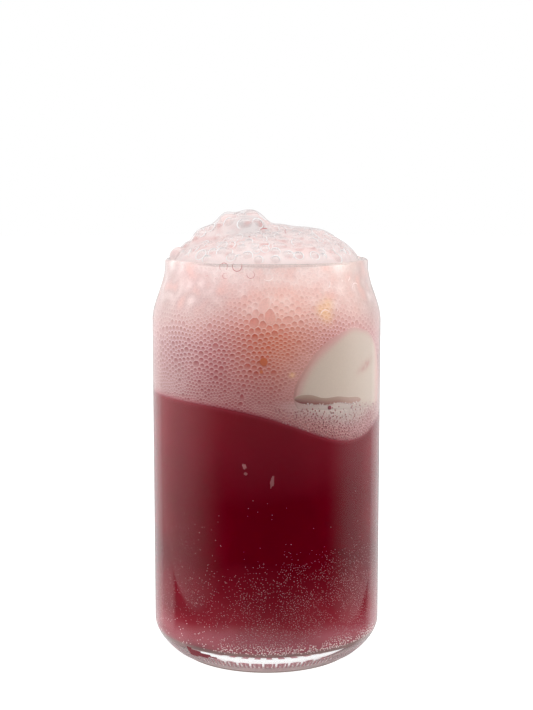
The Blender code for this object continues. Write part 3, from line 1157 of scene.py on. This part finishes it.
class FLOAT_OT_scoop(bpy.types.Operator):
    """Adds the scoop of ice cream that shows through the wall, and the air gap under it as a sheet of
    painted shade
    """

    bl_idname = "mesh.float_scoop"
    bl_label = "Scoop"

    def execute(self, context):
        bm = ball(6)
        tone = bm.verts.layers.float_color.new("tone")
        cream = linear(context.scene.float_scoop.colour)
        for vert in bm.verts:
            across, inward, up = vert.co
            waist = SCOOP_WAIST + SCOOP_WAIST_TILT * across
            wander = 0.02 * noise.noise(vert.co * 3.1)
            rim = math.hypot(across, up) + wander
            lean = SCOOP_LEAN * max(up, 0.0)
            azimuth = SCOOP_AZIMUTH + lean + math.degrees(across * SCOOP_HALF_WIDTH / INNER_BODY)
            lump = 1 + 0.05 * noise.noise(vert.co * 2.2)
            if up >= 0:
                z = waist + up * SCOOP_UPPER
                front = 0.0
            else:
                z = waist + up * SCOOP_LOWER
                front = SCOOP_TUCK * (1 - math.sqrt(1 - up * up))
            depth = front + max(inward, 0.0) * (SCOOP_DEPTH * lump - front)
            reach = REACH_SCOOP * between(rim, 1.0, 0.92) if inward < 0.05 else 0.0
            vert.co = at_wall(azimuth, z, reach - depth)
            cell, film, _ = foam_colours(azimuth, z)
            foam = mixed(cell, film, 0.42)
            lower = 0.12 * between(azimuth, 50, 58)
            soft = 0.87 - 0.11 * between(-across, 0.1, 0.6)
            blend = max(between(rim, soft, 0.99), between(up, 0.06 - lower, -0.18 - lower))
            colour = mixed(cream, foam, 0.92 * blend)
            colour = mixed(colour, linear("C9BCB1"), 0.6 * between(azimuth, 38, 62) * (1 - blend))
            smear = bump(azimuth - 58, 4.5) * bump(z / MM - 99.6 - 0.22 * (azimuth - 58), 1.1)
            smear *= 1 + 0.8 * noise.noise(vert.co / (1.6 * MM))
            colour = mixed(colour, linear("B5837E"), 0.6 * smear)
            right = between(azimuth, 66, 74)
            colour = mixed(colour, linear("CF9A95"), 0.6 * right)
            vert[tone] = (*colour, 1.0)
        # Vanilla, beige behind a thin milky film, with pink foam creeping in at its edge
        material = cream_material("vanilla_ice_cream", 0.6 * MM, (0.94, 1.05))
        add_piece("scoop", bm, material, ["ice_cream"])
        self.add_gap()
        return {"FINISHED"}

    def add_gap(self):
        """The air gap where the scoop's underside leaves the wall, as a thin sheet in front of the
        scoop with its shade painted on: brown-grey, darker at its foot.
        """
        bm = bmesh.new()
        bmesh.ops.create_grid(bm, x_segments=120, y_segments=24, size=1.0)
        tone = bm.verts.layers.float_color.new("tone")
        for vert in bm.verts:
            along, across = vert.co.x, 1.12 * vert.co.y
            middle, half = gap_outline(along)
            azimuth = GAP_AZIMUTH + GAP_HALF_ANGLE * along
            z = middle + half * across
            inside = min(1 - abs(across), 6 * (1 - abs(along)))
            vert.co = at_wall(azimuth, z, REACH_SCOOP + 0.08 * MM)
            # Painted shade inside the gap: darker at its foot and towards its left end
            right = between(along, -0.7, 0.9)
            upper = mixed(linear("A28B7E"), linear("B49B8D"), right)
            lower = mixed(linear("80504F"), linear("AC8B82"), right)
            painted_gap_shade = mixed(lower, upper, 0.5 + 0.62 * across)
            cell, film, _ = foam_colours(azimuth, z)
            around = linear("C4B5A8") if across > 0 else mixed(cell, film, 0.6)
            vert[tone] = (*mixed(around, painted_gap_shade, between(inside, -0.10, 0.07)), 1.0)
        bmesh.ops.recalc_face_normals(bm, faces=bm.faces)
        faces = bm.faces[:]
        if faces[0].normal.dot(faces[0].calc_center_median() * Vector((1, 1, 0))) < 0:
            bmesh.ops.reverse_faces(bm, faces=faces)
        bmesh.ops.solidify(bm, geom=faces, thickness=0.10 * MM)
        bmesh.ops.recalc_face_normals(bm, faces=bm.faces)
        material = cream_material("cream_with_painted_gap_shade", 0.6 * MM, (0.94, 1.05))
        add_piece("gap_shade_sheet", bm, material)


def froth_material():
    """The body of the froth: pale pink and milky, greyer where a bubble's inside shows, as painted
    shade, with painted pale highlights near the bubbles' edges.
    """
    made, tree = new_material("milky_froth")
    tone = add(tree, "Attribute", attribute_name="tone").outputs["Color"]
    shader = add(
        tree,
        "BsdfPrincipled",
        {"Base Color": tone, "Roughness": 0.3, "Specular IOR Level": 0.25},
    )
    add(tree, "OutputMaterial", {"Surface": shader.outputs[0]})
    return made


def film_material(name, hex_colour, least, most):
    """A thin film of soapy soda: almost clear, and grey-pink where it is seen edge on."""
    made, tree = new_material(name)
    facing = add(tree, "LayerWeight", {"Blend": 0.5}).outputs["Facing"]
    edge = add(tree, "Math", {0: facing, 1: 4.0}, operation="POWER").outputs[0]
    share = add(tree, "MapRange", {"Value": edge, "To Min": least, "To Max": most})
    shader = add(
        tree,
        "BsdfPrincipled",
        {
            "Base Color": rgba(hex_colour),
            "Roughness": 0.05,
            "Specular IOR Level": 0.5,
            "Alpha": share.outputs["Result"],
        },
    )
    add(tree, "OutputMaterial", {"Surface": shader.outputs[0]})
    return made


def heap_normal(x, y):
    step = 0.8 * MM
    slope_x = (heap_surface(x + step, y) - heap_surface(x - step, y)) / (2 * step)
    slope_y = (heap_surface(x, y + step) - heap_surface(x, y - step)) / (2 * step)
    return Vector((-slope_x, -slope_y, 1)).normalized()


# The bubbles that stand out most in the heap, each (x, y, radius) in millimetres
CHOSEN_BUBBLES = (
    (-8.0, -3.5, 2.6),
    (-12.4, -5.5, 3.4),
    (-7.2, -8.6, 3.2),
    (-2.1, -6.0, 3.4),
    (-19.9, -9.0, 3.7),
    (-20.7, -18.6, 3.6),
    (-18.0, -2.6, 2.6),
    (-12.5, -12.4, 2.6),
    (-14.0, -18.0, 2.5),
    (-5.8, -20.6, 2.0),
    (4.3, -21.5, 4.3),
    (-0.4, -25.2, 1.8),
    (10.1, -26.0, 2.4),
    (15.2, -23.6, 2.5),
    (5.1, -1.0, 2.0),
    (9.6, -3.0, 2.3),
    (16.0, -3.4, 2.5),
    (19.6, -10.0, 2.6),
    (-6.0, -27.4, 2.3),
    (-12.2, -24.0, 2.4),
    (26.0, -9.0, 2.4),
    (5.0, 14.0, 3.6),
    (-15.0, 15.0, 3.4),
    (19.0, 13.0, 3.2),
    (-3.0, 22.0, 3.0),
    (26.0, 4.0, 2.6),
    (-25.0, 11.0, 2.8),
)


# One that leans over the rim at the left, as its centre and radius in millimetres
EDGE_BUBBLE = (-28.9, -1.5, 133.5, 3.3)

# The red threads on the heap, each (x, y, radius, turn) in millimetres and degrees
SYRUP_THREADS = ((-1.4, -16.6, 2.2, 40), (-4.6, -16.0, 1.5, 215), (7.0, -12.4, 1.3, 130))


def froth_bubbles(count):
    """The heap's bubbles, each as its centre, radius and outward direction."""
    draw = random.Random(11)
    placed = [(x * MM, y * MM, radius * MM) for x, y, radius in CHOSEN_BUBBLES]
    tries = 0
    while len(placed) < count and tries < 30000:
        tries += 1
        angle = draw.uniform(0, math.tau)
        away = (HEAP_RADIUS - 1.0 * MM) * math.sqrt(draw.random())
        radius = (1.4 + 2.4 * draw.random() ** 1.4) * MM
        x, y = away * math.cos(angle), away * math.sin(angle)
        if all(math.hypot(x - a, y - b) > 0.60 * (radius + r) for a, b, r in placed):
            placed.append((x, y, radius))
    bubbles = []
    for x, y, radius in placed:
        normal = heap_normal(x, y)
        out = Vector((x, y, heap_surface(x, y))) + (FILM_LIFT / 2 - radius) * normal
        bubbles.append((out, radius, normal))
    bubbles.append((Vector(EDGE_BUBBLE[:3]) * MM, EDGE_BUBBLE[3] * MM, Vector((-0.6, -0.2, 0.77))))
    return bubbles


class FLOAT_OT_froth(bpy.types.Operator):
    """Adds the heap of froth over the rim, with its bubbles"""

    bl_idname = "mesh.float_froth"
    bl_label = "Froth"

    def execute(self, context):
        settings = context.scene.float_froth
        bubbles = froth_bubbles(settings.bubble_count)
        self.add_body(settings, bubbles)
        self.add_film()
        self.add_bubbles(bubbles)
        return {"FINISHED"}

    def add_body(self, settings, bubbles):
        """The milky body of the heap: bubble against bubble, with a crease between them."""
        outer = inner_radius(GLASS_HEIGHT - RIM_WALL) + REACH_FOAM
        low = GLASS_HEIGHT - FROTH_DEPTH
        profile = [(0, low), (outer, low), (outer, low + 2 * MM)]
        profile += [(away, GLASS_HEIGHT) for away in spaced(outer, 0, 84)]
        bm = turned(profile, FROTH_STEPS)
        tone = bm.verts.layers.float_color.new("tone")
        top = [vert for vert in bm.verts if vert.co.z > GLASS_HEIGHT - MM]
        flat = np.array([vert.co.xy for vert in top])
        ground = np.array([heap_surface(vert.co.x, vert.co.y) for vert in top])
        lowered = [between(away, HEAP_RADIUS - 1.5 * MM, outer) for away in np.hypot(*flat.T)]
        ground += FILM_LIFT / 2 - BUBBLE_STAND - 0.8 * MM * np.array(lowered)
        blend = 0.16 * MM
        swell = np.ones(len(top))
        nearness = np.ones(len(top))
        highest = ground.copy()
        owner = np.full(len(top), -1)
        for index, (middle, radius, _) in enumerate(bubbles):
            away = np.hypot(*(flat - np.array(middle.xy)).T) / radius
            cap = middle.z + radius * np.sqrt(np.maximum(1 - away * away, 0))
            cap = np.where(away < 1, cap, middle.z - (away - 1) * 4 * radius)
            swell += np.exp(np.clip((cap - ground) / blend, -30, 30))
            best = cap > highest
            highest[best] = cap[best]
            shown = math.sqrt(2 * radius * BUBBLE_STAND - BUBBLE_STAND**2) / radius
            nearness[best] = away[best] / shown
            owner[best] = index
        height = ground + blend * np.log(swell)
        base = linear(settings.colour)
        for vert, z, away, index in zip(top, height, nearness, owner):
            vert.co.z = max(z, GLASS_HEIGHT - 2 * MM)
            patch = noise.noise(vert.co / (7 * MM))
            colour = mixed(base, linear("F2CCC7"), 1.1 * max(patch, 0.0))
            # Grey inside some bubbles' caps and in one large window, where a bubble's hollow inside
            # shows: painted shade
            window = bump(math.hypot(0.7 * vert.co.x + 3 * MM, vert.co.y + 9 * MM), 5 * MM)
            grey = max(-1.1 * patch, 0.0) + (0.55 if index % 3 == 0 else 0.0)
            grey = max(min(grey, 0.95) * between(away, 1.0, 0.80), 0.9 * between(window, 0.35, 0.75))
            colour = mixed(colour, linear("D6CFCF"), grey)
            # A pale ring near each cap's edge: a painted highlight
            colour = mixed(colour, linear("FDF2F0"), 0.75 * bump(away - 0.86, 0.09))
            thread = between(away, 0.95, 1.05) * (0.12 + 1.1 * noise.noise(vert.co / (3 * MM)))
            thread *= between(vert.co.z, GLASS_HEIGHT, GLASS_HEIGHT + 3 * MM)
            colour = mixed(colour, linear("E2AEAB"), min(max(thread, 0.0), 0.7))
            vert[tone] = (*colour, 1.0)
        for vert in bm.verts:
            if vert.co.z < GLASS_HEIGHT - 3 * MM:
                vert[tone] = (*base, 1.0)
        bmesh.ops.recalc_face_normals(bm, faces=bm.faces)
        add_piece("froth_body", bm, froth_material())

    def add_film(self):
        """The clear wet film that lies over all the bubbles of the heap."""
        edge = inner_radius(GLASS_HEIGHT - RIM_WALL)
        profile = [(edge, GLASS_HEIGHT - 1.5 * MM)]
        profile += [(away, GLASS_HEIGHT) for away in spaced(edge, 0, 60)]
        bm = turned(profile, FILM_STEPS)
        for vert in bm.verts:
            if vert.co.z > GLASS_HEIGHT - MM:
                away = math.hypot(vert.co.x, vert.co.y)
                vert.co.z = heap_surface(vert.co.x, vert.co.y) + FILM_LIFT
                vert.co.z -= 1.2 * MM * between(away, HEAP_RADIUS - 1.5 * MM, edge)
        opening = [line for line in bm.edges if line.is_boundary]
        bmesh.ops.holes_fill(bm, edges=opening, sides=0)
        bmesh.ops.recalc_face_normals(bm, faces=bm.faces)
        add_piece("heap_film", bm, film_material("heap_film", "CDB6B5", 0.03, 0.75))

    def add_bubbles(self, bubbles):
        """The clear films of the larger bubbles, and thick white rims on them as painted highlights,
        with white dots as painted glints.
        """
        draw = random.Random(4)
        films, rims, arcs, dots = [], [], [], []
        for index, (middle, radius, normal) in enumerate(bubbles):
            chosen = index < len(CHOSEN_BUBBLES) or index == len(bubbles) - 1
            if radius > 1.9 * MM:
                films.append(Matrix.Translation(middle) @ Matrix.Scale(radius + 0.06 * MM, 4))
            stray = Vector((draw.uniform(-1, 1), draw.uniform(-1, 1), draw.uniform(0, 1)))
            spot = middle + (radius + 0.05 * MM) * (normal + 0.5 * stray).normalized()
            dots.append(Matrix.Translation(spot) @ Matrix.Scale(draw.uniform(0.12, 0.24) * MM, 4))
            if not chosen and draw.random() < 0.30:
                continue
            outward = Vector((middle.x, middle.y - 6 * MM, 0)).normalized()
            axis = (normal + 0.45 * outward).normalized()
            turn = axis.to_track_quat("Z", "Y").to_matrix().to_4x4()
            turn = turn @ Matrix.Rotation(draw.uniform(0, math.tau), 4, "Z")
            shown = math.sqrt(2 * radius * BUBBLE_STAND - BUBBLE_STAND**2)
            polar = min(math.asin(min(shown / radius, 1.0)) * draw.uniform(0.72, 0.88), 0.8)
            out = radius + 0.12 * MM
            wide = out * math.sin(polar)
            thick = draw.uniform(1.6, 2.6) * MM
            spot = middle + out * math.cos(polar) * axis
            ring = Matrix.Translation(spot) @ turn @ Matrix.Diagonal((wide, wide, thick, 1))
            (rims if chosen and draw.random() < 0.55 else arcs).append(ring)
        film = film_material("bubble_film", "E9E0E0", 0.10, 0.45)
        add_scattered("bubble_films", ball(4), films, film)
        # White rings, arcs and dots on the bubbles: painted highlights and glints
        white = plain_material("bubble_rim_painted_highlight", "FFFFFF", GLINTING)
        for name, angle, places in (("bubble_rim_highlights", math.tau, rims), ("bubble_arc_highlights", 3.3, arcs)):
            add_scattered(name, rim_template(angle, 0.125), places, white)
        add_scattered("froth_painted_glints", ball(1), dots, white)
        threads = []
        for x, y, radius, turn in SYRUP_THREADS:
            x, y = x * MM, y * MM
            lift = Matrix.Translation((x, y, heap_surface(x, y) + 0.8 * MM))
            lean = Matrix.Rotation(math.radians(70), 4, "X")
            lean = lean @ Matrix.Rotation(math.radians(turn), 4, "Z")
            size = Matrix.Diagonal((radius * MM, 0.6 * radius * MM, 1.2 * MM, 1))
            threads.append(lift @ lean @ size)
        red = plain_material("red_syrup_thread", "C46A6C", WET)
        add_scattered("syrup_threads", rim_template(1.5), threads, red)


def rim_template(angle, width=0.085):
    """A thin ring of radius 1 round the Z axis, or an arc of one, thinner in places."""
    bm = bmesh.new()
    made = bmesh.ops.create_circle(bm, segments=6, radius=width)
    upright = Matrix.Translation((1, 0, 0)) @ Matrix.Rotation(math.pi / 2, 4, "X")
    bmesh.ops.transform(bm, matrix=upright, verts=made["verts"])
    whole = angle == math.tau
    if not whole:
        bmesh.ops.contextual_create(bm, geom=bm.edges[:])
    bmesh.ops.spin(
        bm,
        geom=bm.verts[:] + bm.edges[:] + bm.faces[:],
        cent=(0, 0, 0),
        axis=(0, 0, 1),
        angle=angle,
        steps=30 if whole else 18,
        use_merge=whole,
    )
    bmesh.ops.remove_doubles(bm, verts=bm.verts, dist=0.001)
    for vert in bm.verts:
        turn = math.atan2(vert.co.y, vert.co.x) % math.tau
        core = Vector((math.cos(turn), math.sin(turn), 0))
        share = 0.5 + 0.4 * math.cos(turn) if whole else turn / angle
        thick = 0.30 + 0.70 * math.sin(math.pi * min(max(share, 0.0), 1.0))
        vert.co = core + thick * (vert.co - core)
    bmesh.ops.triangulate(bm, faces=bm.faces)
    bmesh.ops.recalc_face_normals(bm, faces=bm.faces)
    return bm


def light_box(name, sides, middle, lowest, power):
    """The steps of a light box at one side, whose lower edge is higher towards its ends."""
    return (
        ("off", "SUBTRACT", "turn", math.radians(middle)),
        ("off", "DIVIDE", "off", math.radians(24)),
        ("off", "MULTIPLY", "off", "off"),
        ("off", "MULTIPLY", "off", math.radians(0.7)),
        ("off", "SUBTRACT", "rise", "off"),
        ("foot", "BAND", "off", (lowest, lowest + 0.5)),
        (name, "BAND", "turn", sides),
        (name, "MULTIPLY", name, "foot"),
        (name, "MULTIPLY", name, power),
    )


# How the studio's light follows from its direction: from the turn, measured from the camera's
# side, and the rise over the horizon. Each step is the name of its result, an operation and its
# two parts. A band goes smoothly from 0 to 1 between two angles in degrees.
STUDIO_STEPS = (
    ("away", "ABSOLUTE", "turn", 0.0),
    # What shines: the white behind, dimmer in its middle, and the boxes at both sides
    ("behind", "BAND", "away", (118, 138)),
    ("middle", "BAND", "away", (152, 174)),
    ("middle", "MULTIPLY", "middle", 0.6),
    ("middle", "SUBTRACT", 1.0, "middle"),
    ("shine", "MULTIPLY", "behind", "middle"),
    *light_box("left", (-38, -98), -74, -18.25, 0.78),
    *light_box("right", (60, 100), 90, -18.8, 0.66),
    ("outer", "BAND", "turn", (-104, -113)),
    ("outer", "MULTIPLY", "outer", 0.72),
    # The lit table below them, brighter at the left
    ("lower", "BAND", "turn", (-62, -100)),
    ("lower", "MULTIPLY", "lower", 0.30),
    ("lower", "ADD", "lower", 0.56),
    ("low", "BAND", "rise", (-18.6, -19.2)),
    ("low", "MULTIPLY", "low", "lower"),
    # A faint front, a bright ceiling and a ring of lamps under it
    ("front", "BAND", "rise", (-10, 6)),
    ("front", "MULTIPLY", "front", 0.20),
    ("top", "BAND", "rise", (25, 60)),
    ("top", "MULTIPLY", "top", 1.2),
    ("ring", "BAND", "rise", (46, 49)),
    ("part", "BAND", "rise", (58, 55)),
    ("ring", "MULTIPLY", "ring", "part"),
    ("lamps", "BAND", "away", (20, 45)),
    ("part", "BAND", "away", (165, 140)),
    ("lamps", "MULTIPLY", "lamps", "part"),
    ("ring", "MULTIPLY", "ring", "lamps"),
    ("ring", "MULTIPLY", "ring", 0.6),
    ("shine", "MAXIMUM", "shine", "left"),
    ("shine", "MAXIMUM", "shine", "right"),
    ("shine", "MAXIMUM", "shine", "outer"),
    ("shine", "MAXIMUM", "shine", "low"),
    ("shine", "MAXIMUM", "shine", "front"),
    ("shine", "MAXIMUM", "shine", "top"),
    ("shine", "MAXIMUM", "shine", "ring"),
    # What lights the inside of the glass: large boxes at the sides, and a glow from behind
    ("boxes", "BAND", "away", (44, 80)),
    ("part", "BAND", "away", (120, 100)),
    ("boxes", "MULTIPLY", "boxes", "part"),
    ("part", "BAND", "rise", (-25, 0)),
    ("boxes", "MULTIPLY", "boxes", "part"),
    ("power", "BAND", "turn", (40, -40)),
    ("power", "MULTIPLY", "power", 2.8),
    ("power", "ADD", "power", 8.2),
    ("boxes", "MULTIPLY", "boxes", "power"),
    ("level", "BAND", "rise", (-13, -9)),
    ("part", "BAND", "rise", (8, 4)),
    ("level", "MULTIPLY", "level", "part"),
    ("level", "MULTIPLY", "level", 0.32),
    ("glow", "SUBTRACT", 0.52, "level"),
    ("glow", "MULTIPLY", "behind", "glow"),
    ("glow", "ADD", "glow", 0.55),
    ("fill", "ADD", "boxes", "glow"),
    # What lights the froth, the foam's outside and the table
    ("even", "BAND", "rise", (20, 70)),
    ("even", "MULTIPLY", "even", 0.35),
    ("even", "ADD", "even", 1.0),
)


def studio_world():
    """A soft studio: white behind, two tall light boxes at the sides, and a dark camera side.

    The glass's gloss shows the boxes, what is inside the glass gets the light of the fill, and
    the froth and the table get an even light. The camera sees plain white.
    """
    world = bpy.data.worlds.new("studio")
    bpy.context.scene.world = world
    world.use_nodes = True
    world.cycles.sampling_method = "NONE"
    tree = world.node_tree
    tree.nodes.clear()
    way = add(tree, "SeparateXYZ", {"Vector": add(tree, "TexCoord").outputs["Generated"]}).outputs
    back = add(tree, "Math", {0: way["Y"], 1: -1.0}, operation="MULTIPLY").outputs[0]
    lights = {
        "turn": add(tree, "Math", {0: way["X"], 1: back}, operation="ARCTAN2").outputs[0],
        "rise": add(tree, "Math", {0: way["Z"]}, operation="ARCSINE").outputs[0],
    }
    for result, operation, first, second in STUDIO_STEPS:
        first = lights.get(first, first)
        if operation == "BAND":
            start, end = (math.radians(angle) for angle in second)
            inputs = {"Value": first, "From Min": start, "From Max": end}
            made = add(tree, "MapRange", inputs, interpolation_type="SMOOTHSTEP")
        else:
            inputs = {0: first, 1: lights.get(second, second)}
            made = add(tree, "Math", inputs, operation=operation)
        lights[result] = made.outputs[0]
    rays = add(tree, "LightPath").outputs
    light = lights["shine"]
    for ray, other in (
        ("Is Transmission Ray", lights["fill"]),
        ("Is Diffuse Ray", lights["even"]),
        ("Is Camera Ray", 1.0),
    ):
        inputs = {0: rays[ray], 2: light, 3: other}
        light = add(tree, "Mix", inputs, data_type="FLOAT").outputs[0]
    shader = add(tree, "Background", {"Color": (1, 1, 1, 1), "Strength": light})
    add(tree, "OutputWorld", {"Surface": shader.outputs[0]})


class FLOAT_OT_stage(bpy.types.Operator):
    """Adds the pale floor, the studio light and the camera"""

    bl_idname = "scene.float_stage"
    bl_label = "Stage"

    def execute(self, context):
        settings = context.scene.float_stage
        studio_world()
        bm = bmesh.new()
        bmesh.ops.create_circle(bm, cap_ends=True, segments=96, radius=FLOOR_RADIUS)
        mesh = bpy.data.meshes.new("floor")
        bm.to_mesh(mesh)
        bm.free()
        floor = bpy.data.objects.new("floor", mesh)
        context.scene.collection.objects.link(floor)
        made, tree = new_material("opal_light_table")
        shader = add(
            tree,
            "BsdfPrincipled",
            {
                "Base Color": rgba("8C8C8C"),
                "Roughness": 1.0,
                "Specular IOR Level": 0.0,
                "Emission Color": rgba("FFFFFF"),
                "Emission Strength": 1.0,
            },
        )
        add(tree, "OutputMaterial", {"Surface": shader.outputs[0]})
        mesh.materials.append(made)
        floor.visible_glossy = False
        lens = bpy.data.cameras.new("camera")
        lens.sensor_fit = "VERTICAL"
        lens.sensor_height = 36.0
        lens.lens = settings.lens
        camera = bpy.data.objects.new("camera", lens)
        camera.location = (0, -settings.distance, settings.height)
        camera.rotation_euler = (math.pi / 2 - settings.tilt, 0, 0)
        context.scene.collection.objects.link(camera)
        context.scene.camera = camera
        context.scene.view_settings.view_transform = "Standard"
        return {"FINISHED"}


class FLOAT_PT_panel(bpy.types.Panel):
    """Lists the pieces and their settings"""

    bl_idname = "FLOAT_PT_panel"
    bl_label = "Ice cream float"
    bl_space_type = "VIEW_3D"
    bl_region_type = "UI"
    bl_category = "Float"

    def draw(self, context):
        for operator in PIECES:
            self.layout.operator(operator.bl_idname)
        for name in SETTINGS:
            settings = getattr(context.scene, name)
            box = self.layout.box()
            for key in settings.bl_rna.properties.keys():
                if key not in ("rna_type", "name"):
                    box.prop(settings, key)


SETTINGS = {
    "float_glass": GlassSettings,
    "float_drink": DrinkSettings,
    "float_foam": FoamSettings,
    "float_scoop": ScoopSettings,
    "float_froth": FrothSettings,
    "float_stage": StageSettings,
}
PIECES = (
    FLOAT_OT_stage,
    FLOAT_OT_glass,
    FLOAT_OT_drink,
    FLOAT_OT_fizz,
    FLOAT_OT_foam,
    FLOAT_OT_scoop,
    FLOAT_OT_froth,
)


def register():
    for made in (*SETTINGS.values(), *PIECES, FLOAT_PT_panel):
        bpy.utils.register_class(made)
    for name, group in SETTINGS.items():
        setattr(bpy.types.Scene, name, bpy.props.PointerProperty(type=group))


def unregister():
    for name in SETTINGS:
        delattr(bpy.types.Scene, name)
    for made in reversed((*SETTINGS.values(), *PIECES, FLOAT_PT_panel)):
        bpy.utils.unregister_class(made)


def main():
    register()
    for operator in PIECES:
        module, name = operator.bl_idname.split(".")
        getattr(getattr(bpy.ops, module), name)()


if __name__ == "__main__":
    main()
